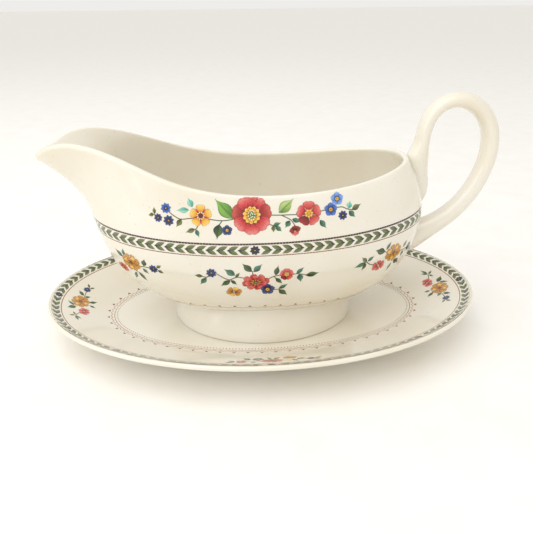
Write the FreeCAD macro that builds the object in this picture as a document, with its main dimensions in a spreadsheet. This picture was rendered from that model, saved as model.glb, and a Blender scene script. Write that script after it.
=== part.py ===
import FreeCAD, Part
import math
import os
import Sketcher

# Gravy boat standing loose in the well of its oval stand, both of glazed bone china.
# Frame: origin at the middle of the stand's foot ring on the table, +Z up, +X towards the handle,
# -X towards the spout. All lengths are millimetres.
#
# The boat is three castings joined before firing: bowl, foot and handle. They meet face to face and
# lift off the stand together. The stand is one pressing.

V = FreeCAD.Vector
AT_ORIGIN = FreeCAD.Placement(V(0, 0, 0), FreeCAD.Rotation())
SAME_HEIGHT = 0.05                  # how far an edge may stray and still count as level
doc = FreeCAD.newDocument("gravy_boat")

# ---------------------------------------------------------------------------------------------
# Driving dimensions
# ---------------------------------------------------------------------------------------------

SIZES = [
    # stand: half lengths along X and half widths along Y, heights above the table
    ("rim_half_length", 109.5),
    ("rim_half_width", 72.0),
    ("well_height", 7.0),           # top of the flat well, where the stand's profile ends
    ("ring_half_length", 70.0),     # outside of the stand's foot ring
    ("ring_half_width", 35.0),
    ("ring_thickness", 4.5),
    ("ring_rounding", 1.2),
    ("ring_height", 3.0),
    ("ring_overlap", 1.0),          # how far the ring runs up into the plate
    # boat foot
    ("foot_half_length", 45.8),
    ("foot_half_width", 36.3),
    ("neck_half_length", 43.8),     # where the foot meets the bowl
    ("neck_half_width", 30.8),
    ("neck_height", 22.1),
    ("foot_wall", 3.2),
    ("foot_rounding", 0.9),
    # boat bowl
    ("body_half_length", 80.6),     # longest the oval body gets, before the spout runs on past it
    ("wall", 2.9),
    ("core_height", 86.0),          # top of the solid that clears the handle out of the bowl
]

# Horizontal sections of the bowl's outside, bottom to top: height, reach of the spout side along -X,
# reach of the handle side along +X, half width of the body, half width of the spout.
BOWL_LEVELS = [
    (17.0, 35.0, 35.5, 20.0, 8.5),
    (19.1, 43.6, 45.2, 26.3, 9.0),
    (22.1, 52.5, 55.2, 31.1, 9.6),
    (25.5, 58.0, 61.3, 34.2, 10.4),
    (36.1, 70.6, 71.0, 39.5, 11.6),
    (48.8, 77.1, 76.7, 41.8, 13.0),
    (61.5, 80.2, 78.6, 42.1, 14.9),
    (74.3, 86.2, 76.0, 39.8, 17.4),
    (84.9, 95.8, 70.4, 36.6, 19.3),
    (95.5, 111.5, 66.6, 32.2, 20.6),
    (104.0, 124.0, 64.0, 29.0, 21.5),
]

# How the inside differs from the outside at each of those levels: lift, inset of the sides, inset of
# the spout's nose. The slanted wall low in the bowl and under the spout needs more of each.
CAVITY_STEPS = [
    (4.6, 1.5, 1.5),
    (4.3, 2.2, 2.2),
    (3.3, 2.6, 2.6),
    (2.4, 2.8, 2.8),
    (1.0, 2.9, 3.0),
    (0.3, 2.9, 3.0),
    (0.0, 2.9, 3.0),
    (0.0, 2.9, 3.3),
    (0.0, 2.9, 3.9),
    (0.0, 2.9, 4.3),
    (2.0, 2.9, 4.3),
]

# Side view of the rim from the spout to the handle: distance along X, height.
RIM_LINE = [
    (-130.0, 74.0),
    (-106.0, 90.4),
    (-91.0, 99.0),
    (-75.0, 99.6),
    (-58.4, 93.4),
    (-40.3, 86.3),
    (-16.0, 81.9),
    (10.6, 81.3),
    (37.1, 83.2),
    (63.7, 87.4),
    (90.0, 92.5),
]

# The handle from its root on the end of the bowl up, over and down to its heel: place of its middle
# along X, height of its middle, thickness across the loop, width along Y.
HANDLE_LINE = [
    (77.2, 64.0, 4.6, 6.0),
    (77.5, 67.5, 7.4, 8.4),
    (76.8, 73.0, 9.2, 9.6),
    (75.6, 79.0, 9.8, 10.2),
    (74.9, 85.0, 10.5, 10.8),
    (76.0, 91.0, 7.6, 10.3),
    (76.7, 97.0, 6.7, 10.0),
    (78.7, 104.0, 6.7, 10.0),
    (84.0, 109.9, 6.9, 10.0),
    (91.5, 111.7, 7.2, 10.0),
    (99.6, 109.0, 7.5, 10.0),
    (105.9, 102.4, 7.8, 10.0),
    (109.0, 94.0, 8.1, 10.0),
    (109.2, 85.0, 8.3, 10.0),
    (106.9, 75.5, 8.4, 10.1),
    (102.3, 66.0, 8.5, 10.3),
    (95.8, 58.0, 8.8, 10.6),
    (88.0, 51.9, 9.8, 11.3),
    (80.5, 47.6, 12.0, 12.8),
    (73.0, 43.6, 14.0, 14.6),
]

# Profile of the stand's plate, as an outline seen from one side: inset from the outermost edge, height.
# It starts on the underside, goes out round the lip and comes back in along the top to the well.
STAND_PROFILE = [
    (40.0, 3.0),
    (34.0, 3.0),
    (29.5, 3.1),
    (25.0, 4.1),
    (19.5, 6.6),
    (13.0, 10.1),
    (6.8, 13.7),
    (3.0, 16.1),
    (0.9, 17.3),
    (-0.1, 18.3),
    (0.3, 19.4),
    (1.3, 19.9),
    (2.5, 19.3),
    (4.2, 18.2),
    (8.0, 16.3),
    (13.5, 13.8),
    (19.0, 11.3),
    (24.0, 9.1),
    (28.5, 7.5),
    (31.0, 7.0),
    (33.0, 7.0),
    (35.0, 7.0),
    (38.0, 7.0),
    (42.0, 7.0),
]

TABLES = {
    "bowl": (("height", "spout", "back", "side", "throat"), BOWL_LEVELS),
    "cavity": (("lift", "sides", "nose"), CAVITY_STEPS),
    "rim": (("along", "height"), RIM_LINE),
    "handle": (("along", "height", "thickness", "width"), HANDLE_LINE),
    "stand": (("inset", "height"), STAND_PROFILE),
}


def fill_sheet():
    """Put every driving dimension in the sheet under its own alias."""
    sheet = doc.addObject("Spreadsheet::Sheet", "sizes")
    rows = list(SIZES)
    for stem, (words, table) in TABLES.items():
        for i, values in enumerate(table, 1):
            rows += [(f"{stem}{i}_{word}", value) for word, value in zip(words, values)]
    for row, (alias, value) in enumerate(rows, 1):
        sheet.set(f"A{row}", alias)
        sheet.set(f"B{row}", str(value))
        sheet.setAlias(f"B{row}", alias)
    doc.recompute()
    return sheet


sizes = fill_sheet()


def size(alias):
    return float(getattr(sizes, alias))


def table(stem):
    """The rows of one of the sheet's tables."""
    words, rows = TABLES[stem]
    return [[size(f"{stem}{i}_{word}") for word in words] for i in range(1, len(rows) + 1)]


# ---------------------------------------------------------------------------------------------
# Sketched ellipses, used by the stand, the foot and the handle
# ---------------------------------------------------------------------------------------------

def origin_plane(body, role):
    for feature in body.Origin.OriginFeatures:
        if feature.Role == role:
            return feature
    raise ValueError(role)


def ellipse_sketch(body, name, half_length, half_width):
    """An ellipse on the body's XY plane; both half axes are expressions."""
    sketch = body.newObject("Sketcher::SketchObject", name)
    sketch.AttachmentSupport = [(origin_plane(body, "XY_Plane"), "")]
    sketch.MapMode = "FlatFace"
    sketch.addGeometry(Part.Ellipse(V(50, 0, 0), V(0, 30, 0), V(0, 0, 0)))
    sketch.exposeInternalGeometry(0)
    origin, centre = (-1, 1), (0, 3)
    sketch.addConstraint(Sketcher.Constraint("Coincident", *centre, *origin))
    sketch.addConstraint(Sketcher.Constraint("Horizontal", 1))
    length = sketch.addConstraint(Sketcher.Constraint("Distance", 1, 100.0))
    width = sketch.addConstraint(Sketcher.Constraint("Distance", 2, 60.0))
    sketch.setExpression(f"Constraints[{length}]", f"2 * ({half_length})")
    sketch.setExpression(f"Constraints[{width}]", f"2 * ({half_width})")
    return sketch


def loft(body, kind, name, sketches):
    doc.recompute()
    feature = body.newObject(f"PartDesign::{kind}Loft", name)
    feature.Profile = sketches[0]
    feature.Sections = sketches[1:]
    doc.recompute()
    return feature


def level_loft(body, kind, name, sections):
    """A loft through level ellipses; each section is (height, half length, half width)."""
    sketches = []
    for i, (height, half_length, half_width) in enumerate(sections, 1):
        sketch = ellipse_sketch(body, f"{name}_section{i}", half_length, half_width)
        sketch.setExpression("AttachmentOffset.Base.z", height)
        sketches.append(sketch)
    return loft(body, kind, name, sketches)


def level_edges(shape, height):
    """Names of the edges that lie wholly at one height."""
    names = []
    for i, edge in enumerate(shape.Edges, 1):
        box = edge.BoundBox
        if abs(box.ZMin - height) < SAME_HEIGHT and abs(box.ZMax - height) < SAME_HEIGHT:
            names.append(f"Edge{i}")
    return names


def round_edges(body, base, name, edges, radius):
    fillet = body.newObject("PartDesign::Fillet", name)
    fillet.Base = (base, edges)
    fillet.setExpression("Radius", radius)
    doc.recompute()
    return fillet


# ---------------------------------------------------------------------------------------------
# Smooth skins, used by the stand and the bowl
# ---------------------------------------------------------------------------------------------

def mirror_columns(columns):
    """Columns all the way round, from those on the +Y side, the first and last lying on the XZ plane."""
    return columns + [[V(p.x, -p.y, p.z) for p in column] for column in reversed(columns[1:-1])]


def skin_solid(net):
    """A solid under one cubic B-spline face, closed around Z, with a flat face at each end.

    The columns of the net are the face's control points.
    """
    around, along = len(net), len(net[0])
    inner_knots = along - 4
    surface = Part.BSplineSurface()
    surface.buildFromPolesMultsKnots(
        net,
        [1] * (around + 1),
        [4] + [1] * inner_knots + [4],
        list(range(around + 1)),
        list(range(inner_knots + 2)),
        True,
        False,
        3,
        3,
    )
    skin = surface.toShape()
    caps = [Part.Face(Part.Wire(edge)) for edge in skin.Edges if edge.isClosed()]
    shell = Part.Shell([skin] + caps)
    shell.sewShape()
    solid = Part.Solid(shell)
    if solid.Volume < 0:
        solid.reverse()
    return solid


# ---------------------------------------------------------------------------------------------
# Stand: a shallow oval plate on a foot ring, with a raised rolled rim and a flat well
# ---------------------------------------------------------------------------------------------

STAND_COLUMNS = 64


def make_plate():
    length, width = size("rim_half_length"), size("rim_half_width")
    net = []
    for i in range(STAND_COLUMNS):
        turn = 2 * math.pi * i / STAND_COLUMNS
        x, y = math.cos(turn), math.sin(turn)
        net.append([V((length - step) * x, (width - step) * y, z) for step, z in table("stand")])
    plate = doc.addObject("Part::Feature", "stand_plate")
    plate.Shape = skin_solid(net)
    plate.Placement = AT_ORIGIN
    return plate


def make_foot_ring():
    body = doc.addObject("PartDesign::Body", "stand_ring")
    ring = body.newObject("PartDesign::Pad", "foot_ring")
    ring.Profile = ellipse_sketch(body, "foot_ring_outside", "sizes.ring_half_length",
                                  "sizes.ring_half_width")
    ring.setExpression("Length", "sizes.ring_height + sizes.ring_overlap")
    doc.recompute()
    recess = body.newObject("PartDesign::Pocket", "foot_ring_recess")
    recess.Profile = ellipse_sketch(body, "foot_ring_inside",
                                    "sizes.ring_half_length - sizes.ring_thickness",
                                    "sizes.ring_half_width - sizes.ring_thickness")
    recess.Type = "ThroughAll"
    recess.Midplane = True
    doc.recompute()
    round_edges(body, recess, "foot_ring_rounding", level_edges(recess.Shape, 0), "sizes.ring_rounding")
    return body


def make_stand():
    stand = doc.addObject("Part::Fuse", "stand")
    stand.Label = "stand"
    stand.Base = make_plate()
    stand.Tool = make_foot_ring()
    stand.Placement = AT_ORIGIN
    return stand


# ---------------------------------------------------------------------------------------------
# Bowl: an oval body that runs out into a long spout, with one rounded lip all the way round
# ---------------------------------------------------------------------------------------------

QUARTER_STEPS = 10                  # columns of the skin in a quarter turn
OVAL_POWER = 2.25                   # the body's oval is a little squarer than an ellipse
NOSE_POWER = 4                      # how blunt the spout's nose is in plan
BLEND_POWER = 4                     # how tightly the spout's sides run into the body's
SPOUT_FADE = 45                     # the spout's width comes in over this distance from the middle
RIM_SEARCH = (70.0, 103.0)          # the rim lies between these heights
LEAN_STEP = 3                       # the lip leans as the wall does over this height

# Shares of the wall's height at which the skin is laid, closer together where it turns more.
SKIN_SHARES = (0, 0.035, 0.08, 0.15, 0.25, 0.38, 0.52, 0.66, 0.78, 0.88, 0.95, 1)
LIP_TURNS = (40, 90, 140)
FLAT_SHARE = 0.7                    # the base and floor run flat from here inwards
UNDERSIDE_POINTS = 7                # points of a column that reach well above the foot
UNDERSIDE_TOP = 55.0                # level top of the solid that shapes the top of the foot


def between(rows, at):
    """Values of a table at a place in its first column, by smooth cubic steps."""
    k = 1
    while k < len(rows) - 2 and at > rows[k + 1][0]:
        k += 1
    before, low, high, after = (rows[min(max(j, 0), len(rows) - 1)] for j in (k - 1, k, k + 1, k + 2))
    if at < low[0]:
        before, low, high, after = before, before, low, high
    step = high[0] - low[0]
    u = (at - low[0]) / step
    values = []
    for j in range(1, len(low)):
        start = step * (high[j] - before[j]) / (high[0] - before[0])
        end = step * (after[j] - low[j]) / (after[0] - low[0])
        values.append((2 * u ** 3 - 3 * u ** 2 + 1) * low[j] + (u ** 3 - 2 * u ** 2 + u) * start
                      + (3 * u ** 2 - 2 * u ** 3) * high[j] + (u ** 3 - u ** 2) * end)
    return values


def plan_point(turn, height, levels):
    """A point of a level section, turn going from the spout's nose (0) to the handle's end (pi)."""
    spout, back, side, throat = between(levels, height)
    across = abs(math.sin(turn))
    if turn > math.pi / 2:
        along = abs(math.cos(turn)) ** (2 / OVAL_POWER)
        return V(back * along, side * across ** (2 / OVAL_POWER), height)
    reach = math.cos(turn)
    body_share = min(spout * reach / min(spout, size("body_half_length")), 1)
    oval = side * (1 - body_share ** OVAL_POWER) ** (1 / OVAL_POWER)
    fade = min(spout * reach / SPOUT_FADE, 1)
    lip = throat * math.sqrt(1 - reach ** NOSE_POWER) * fade * fade * (3 - 2 * fade)
    return V(-spout * reach, (oval ** BLEND_POWER + lip ** BLEND_POWER) ** (1 / BLEND_POWER), height)


def rim_height(turn, levels, rim_line):
    """Height at which the outside meets the rim line, found by bisection."""
    low, high = RIM_SEARCH
    while high - low > 0.001:
        middle = (low + high) / 2
        if middle < between(rim_line, plan_point(turn, middle, levels).x)[0]:
            low = middle
        else:
            high = middle
    return low


def skin_column(turn, outside, inside, rim_line):
    """Points from the bowl's base up the outside, over the lip and down the inside to the floor."""
    half_wall = size("wall") / 2
    top = rim_height(turn, outside, rim_line) - half_wall
    base, floor = outside[0][0], inside[0][0]
    up = [plan_point(turn, base + share * (top - base), outside) for share in SKIN_SHARES]
    down = [plan_point(turn, floor + share * (top - floor), inside) for share in SKIN_SHARES[-2::-1]]
    flat_base = V(up[0].x * FLAT_SHARE, up[0].y * FLAT_SHARE, base)
    flat_floor = V(down[-1].x * FLAT_SHARE, down[-1].y * FLAT_SHARE, floor)
    edge = up[-1]
    rise = (edge - plan_point(turn, top - LEAN_STEP, outside)).normalize()
    across = edge - plan_point(turn, top, inside)
    across = (across - rise * across.dot(rise)).normalize()
    middle = edge - across * half_wall
    lip = []
    for degrees in LIP_TURNS:
        angle = math.radians(degrees)
        lip.append(middle + (across * math.cos(angle) + rise * math.sin(angle)) * half_wall)
    return [flat_base] + up + lip + [middle - across * half_wall] + down + [flat_floor]


def bowl_tables():
    outside = table("bowl")
    inside = []
    for (height, spout, back, side, throat), (lift, sides, nose) in zip(outside, table("cavity")):
        inside.append([height + lift, spout - nose, back - sides, side - sides, throat - sides])
    return outside, inside


def half_turns():
    return [math.pi / 2 * i / QUARTER_STEPS for i in range(2 * QUARTER_STEPS + 1)]


def bowl_columns():
    outside, inside = bowl_tables()
    rim_line = table("rim")
    return [skin_column(turn, outside, inside, rim_line) for turn in half_turns()]


def make_bowl(columns):
    bowl = doc.addObject("Part::Feature", "boat_bowl")
    bowl.Label = "boat_bowl"
    bowl.Shape = skin_solid(mirror_columns(columns))
    bowl.Placement = AT_ORIGIN
    return bowl


def make_underside(columns):
    """The lower part of the bowl's outside as a full solid, which shapes the top of the foot."""
    outside = table("bowl")
    lower = []
    for turn, column in zip(half_turns(), columns):
        lower.append(column[:UNDERSIDE_POINTS] + [plan_point(turn, UNDERSIDE_TOP, outside)])
    underside = doc.addObject("Part::Feature", "bowl_underside")
    underside.Shape = skin_solid(mirror_columns(lower))
    underside.Placement = AT_ORIGIN
    return underside


def make_core():
    """A solid out to the middle of the bowl's wall, which clears the handle out of the bowl."""
    outside, inside = bowl_tables()
    top = size("core_height")
    columns = []
    for turn in half_turns():
        column = []
        for share in SKIN_SHARES:
            height = outside[1][0] + share * (top - outside[1][0])
            outer = plan_point(turn, height, outside)
            inner = plan_point(turn, height, inside)
            column.append((outer + inner) / 2)
        columns.append(column)
    core = doc.addObject("Part::Feature", "bowl_core")
    core.Shape = skin_solid(mirror_columns(columns))
    core.Placement = AT_ORIGIN
    return core


# ---------------------------------------------------------------------------------------------
# Foot: a hollow oval skirt that flares a little to the well, joined under the bowl
# ---------------------------------------------------------------------------------------------

def foot_section(share, height, wall):
    """A section a share of the way from the base up to the neck, less a wall, as expressions."""
    length = f"sizes.foot_half_length + {share} * (sizes.neck_half_length - sizes.foot_half_length)"
    width = f"sizes.foot_half_width + {share} * (sizes.neck_half_width - sizes.foot_half_width)"
    return (height, f"{length} - {wall} * sizes.foot_wall", f"{width} - {wall} * sizes.foot_wall")


def make_foot(underside):
    body = doc.addObject("PartDesign::Body", "foot_blank")
    base, neck = "sizes.well_height", "sizes.neck_height"
    skirt = []
    for share, rise in ((0, 0), (0.04, 0.12), (0.3, 0.4), (0.74, 0.74), (1, 1.01)):
        skirt.append(foot_section(share, f"{base} + {rise} * ({neck} - {base})", 0))
    level_loft(body, "Additive", "skirt", skirt)
    hollow = []
    for share, rise in ((0.05, 0), (0.35, 0.4), (0.95, 1.1)):
        hollow.append(foot_section(share, f"{base} + {rise} * ({neck} - {base})", 1))
    space = level_loft(body, "Subtractive", "underside", hollow)
    edges = level_edges(space.Shape, size("well_height"))
    round_edges(body, space, "foot_rounding_fillet", edges, "sizes.foot_rounding")
    foot = doc.addObject("Part::Cut", "boat_foot")
    foot.Label = "boat_foot"
    foot.Base = body
    foot.Tool = underside
    foot.Placement = AT_ORIGIN
    return foot


# ---------------------------------------------------------------------------------------------
# Handle: a rounded strap that rises from the end of the rim, loops over and comes back to the bowl
# ---------------------------------------------------------------------------------------------

ACROSS = FreeCAD.Rotation(V(0, 0, 1), 90)      # turns a section's long axis to lie along Y


def make_handle(bowl, core):
    body = doc.addObject("PartDesign::Body", "handle_blank")
    rows = table("handle")
    middle = Part.BSplineCurve()
    middle.interpolate([V(x, 0, z) for x, z, thickness, width in rows])
    sketches = []
    for i, (x, z, thickness, width) in enumerate(rows, 1):
        stem = f"sizes.handle{i}"
        sketch = ellipse_sketch(body, f"strap_section{i}", f"{stem}_width / 2", f"{stem}_thickness / 2")
        along = middle.tangent(middle.parameter(V(x, 0, z)))[0]
        lean = FreeCAD.Rotation(V(0, 1, 0), math.degrees(math.atan2(along.x, along.z)))
        sketch.AttachmentOffset = FreeCAD.Placement(V(x, 0, z), lean * ACROSS)
        sketch.setExpression("AttachmentOffset.Base.x", f"{stem}_along")
        sketch.setExpression("AttachmentOffset.Base.z", f"{stem}_height")
        sketches.append(sketch)
    loft(body, "Additive", "strap", sketches)
    clear = doc.addObject("Part::Cut", "handle_cleared")
    clear.Base = body
    clear.Tool = core
    handle = doc.addObject("Part::Cut", "boat_handle")
    handle.Label = "boat_handle"
    handle.Base = clear
    handle.Tool = bowl
    handle.Placement = AT_ORIGIN
    return handle


# ---------------------------------------------------------------------------------------------
# Build, check and write
# ---------------------------------------------------------------------------------------------

def check_and_write(nodes):
    doc.recompute()
    for item in doc.Objects:
        if "Invalid" in item.State or "Error" in item.State:
            raise RuntimeError(f"{item.Name} did not build: {item.State}")
    os.makedirs("parts", exist_ok=True)
    for node in nodes:
        shape = node.Shape
        if shape.isNull() or not shape.isValid() or len(shape.Solids) != 1:
            raise RuntimeError(f"{node.Label} is not one valid solid")
        shape.exportStep(f"parts/{node.Label}.step")
        box = shape.BoundBox
        sides = [round(side, 2) for side in (box.XLength, box.YLength, box.ZLength)]
        print(node.Label, round(shape.Volume), sides)


columns = bowl_columns()
bowl = make_bowl(columns)
foot = make_foot(make_underside(columns))
handle = make_handle(bowl, make_core())
check_and_write([make_stand(), bowl, foot, handle])
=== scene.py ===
import math

import bpy
from mathutils import Matrix, Vector


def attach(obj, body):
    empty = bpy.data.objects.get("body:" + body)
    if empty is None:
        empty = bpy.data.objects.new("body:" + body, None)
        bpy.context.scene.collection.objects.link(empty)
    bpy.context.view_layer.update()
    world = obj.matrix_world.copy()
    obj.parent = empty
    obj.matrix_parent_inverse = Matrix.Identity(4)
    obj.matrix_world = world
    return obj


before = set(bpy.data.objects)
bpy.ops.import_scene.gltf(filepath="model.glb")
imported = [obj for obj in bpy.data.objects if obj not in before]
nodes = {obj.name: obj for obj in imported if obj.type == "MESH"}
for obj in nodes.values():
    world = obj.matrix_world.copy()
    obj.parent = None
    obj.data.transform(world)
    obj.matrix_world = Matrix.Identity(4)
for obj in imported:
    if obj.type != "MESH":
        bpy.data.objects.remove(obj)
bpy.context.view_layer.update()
MM = 0.001

# ---------------------------------------------------------------------------------------------
# Bone china: a fine, dense, faintly translucent white body under a clear glaze. The cast bowl, foot
# and handle and the pressed stand are all of it. The glaze lies a little uneven and holds a few
# pinhead specks.
# ---------------------------------------------------------------------------------------------


def tint(red, green, blue):
    """A colour given in paint-chart steps of 0 to 255, as the shader's linear values."""
    steps = [value / 255 for value in (red, green, blue)]
    return tuple(v / 12.92 if v <= 0.04045 else ((v + 0.055) / 1.055) ** 2.4 for v in steps) + (1,)


GLAZE_WHITE = tint(238, 233, 220)
GLAZE_CREAM = tint(234, 226, 207)
SPECK = tint(150, 130, 105)


def new_material(name):
    """An empty material with its own shader, ready for nodes."""
    material = bpy.data.materials.new(name)
    material.use_nodes = True
    return material, material.node_tree, material.node_tree.nodes["Principled BSDF"]


def add_node(tree, kind, inputs=None, **settings):
    node = tree.nodes.new(kind)
    for key, value in settings.items():
        setattr(node, key, value)
    for key, value in (inputs or {}).items():
        if isinstance(value, bpy.types.NodeSocket):
            tree.links.new(value, node.inputs[key])
        else:
            node.inputs[key].default_value = value
    return node


def noise(tree, scale, detail=4.0):
    """Noise on object coordinates; scale is in lumps per metre."""
    place = add_node(tree, "ShaderNodeTexCoord").outputs["Object"]
    lumps = add_node(tree, "ShaderNodeTexNoise", {"Vector": place, "Scale": scale, "Detail": detail})
    return lumps.outputs["Fac"]


def span(tree, value, low, high, to_low, to_high):
    """Value between low and high, mapped on to between to_low and to_high."""
    inputs = {"Value": value, "From Min": low, "From Max": high, "To Min": to_low, "To Max": to_high}
    return add_node(tree, "ShaderNodeMapRange", inputs).outputs["Result"]


def mix(tree, share, first, second):
    """The first colour going over to the second as share goes from 0 to 1."""
    return add_node(tree, "ShaderNodeMix", {0: share, 6: first, 7: second}, data_type="RGBA").outputs[2]


def glaze(tree, shader, ripple):
    """A clear glaze: low roughness that varies a little, and the faint ripple of a fired surface."""
    tree.links.new(span(tree, noise(tree, 90), 0.3, 0.7, 0.10, 0.17), shader.inputs["Roughness"])
    height = noise(tree, 150, 2.0)
    bump = add_node(tree, "ShaderNodeBump", {"Height": height, "Strength": ripple, "Distance": 0.0006})
    tree.links.new(bump.outputs["Normal"], shader.inputs["Normal"])
    shader.inputs["Coat Weight"].default_value = 0.6
    shader.inputs["Coat Roughness"].default_value = 0.04
    shader.inputs["IOR"].default_value = 1.52


china, tree, shader = new_material("bone_china")
clouds = span(tree, noise(tree, 22, 5.0), 0.35, 0.65, 0.0, 1.0)
specks = span(tree, noise(tree, 1400, 0.0), 0.81, 0.85, 0.0, 0.35)
body = mix(tree, specks, mix(tree, clouds, GLAZE_WHITE, GLAZE_CREAM), SPECK)
tree.links.new(body, shader.inputs["Base Color"])
shader.inputs["Subsurface Weight"].default_value = 0.10
shader.inputs["Subsurface Radius"].default_value = (1.0, 0.75, 0.5)
shader.inputs["Subsurface Scale"].default_value = 0.0012
glaze(tree, shader, 0.02)

for node in nodes.values():
    node.data.materials.clear()
    node.data.materials.append(china)

# ---------------------------------------------------------------------------------------------
# Enamels: ceramic colours printed as transfers and fired on to the glaze. Each leaf and petal has a
# dark engraved outline, a paler edge and fine strokes running along it. The colours are the same on
# the boat and on the stand.
# ---------------------------------------------------------------------------------------------

PRINT = "print"             # the map on each leaf and petal: along it from 0 to 1, and across it


def enamel(name, root, middle, tip, outline, vein=None, strokes=9.0):
    """A printed colour that goes from root to tip, with a fine outline and, on a leaf, its veins."""
    material, tree, shader = new_material(name)
    place = add_node(tree, "ShaderNodeUVMap", uv_map=PRINT).outputs["UV"]
    parts = add_node(tree, "ShaderNodeSeparateXYZ", {0: place})
    along, over = parts.outputs["X"], parts.outputs["Y"]
    fade = add_node(tree, "ShaderNodeValToRGB", {"Fac": along})
    ramp = fade.color_ramp
    ramp.elements[0].color, ramp.elements[1].color = root, tip
    ramp.elements[0].position, ramp.elements[1].position = 0.12, 0.96
    ramp.elements.new(0.5).color = middle
    spread = add_node(tree, "ShaderNodeVectorMath", {0: place, 1: (1.6, strokes, 1)}, operation="MULTIPLY")
    hatch = add_node(tree, "ShaderNodeTexNoise", {"Vector": spread.outputs[0], "Scale": 2.2, "Detail": 3.0})
    ink = span(tree, hatch.outputs["Fac"], 0.42, 0.66, 0.0, 0.55)
    colour = mix(tree, ink, fade.outputs["Color"], root)
    away = add_node(tree, "ShaderNodeMath", {0: over, 1: 0.5}, operation="SUBTRACT").outputs[0]
    away = add_node(tree, "ShaderNodeMath", {0: away}, operation="ABSOLUTE").outputs[0]
    if vein:
        slant = add_node(tree, "ShaderNodeMath", {0: away, 1: -1.1, 2: along}, operation="MULTIPLY_ADD")
        ribs = add_node(tree, "ShaderNodeMath", {0: slant.outputs[0], 1: 38.0}, operation="MULTIPLY")
        ribs = add_node(tree, "ShaderNodeMath", {0: ribs.outputs[0]}, operation="SINE").outputs[0]
        colour = mix(tree, span(tree, ribs, 0.72, 0.98, 0.0, 0.55), colour, vein)
        colour = mix(tree, span(tree, away, 0.085, 0.03, 0.0, 0.9), colour, vein)
        lit = span(tree, over, 0.42, 0.62, 0.0, 0.45)
        colour = mix(tree, lit, colour, tip)
    side = span(tree, away, 0.39, 0.45, 0.0, 1.0)
    end = span(tree, along, 0.93, 0.98, 0.0, 1.0)
    edge = add_node(tree, "ShaderNodeMath", {0: side, 1: end}, operation="MAXIMUM").outputs[0]
    edge = add_node(tree, "ShaderNodeMath", {0: edge, 1: 0.8}, operation="MULTIPLY").outputs[0]
    tree.links.new(mix(tree, edge, colour, outline), shader.inputs["Base Color"])
    glaze(tree, shader, 0.03)
    return material


def plain_enamel(name, colour, patch):
    """A line or dot of one printed colour that lies a little thicker in places."""
    material, tree, shader = new_material(name)
    uneven = span(tree, noise(tree, 700, 3.0), 0.38, 0.62, 0.0, 1.0)
    tree.links.new(mix(tree, uneven, colour, patch), shader.inputs["Base Color"])
    glaze(tree, shader, 0.03)
    return material


INK_BROWN = tint(52, 22, 10)
RED_BROWN = tint(150, 82, 52)

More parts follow.
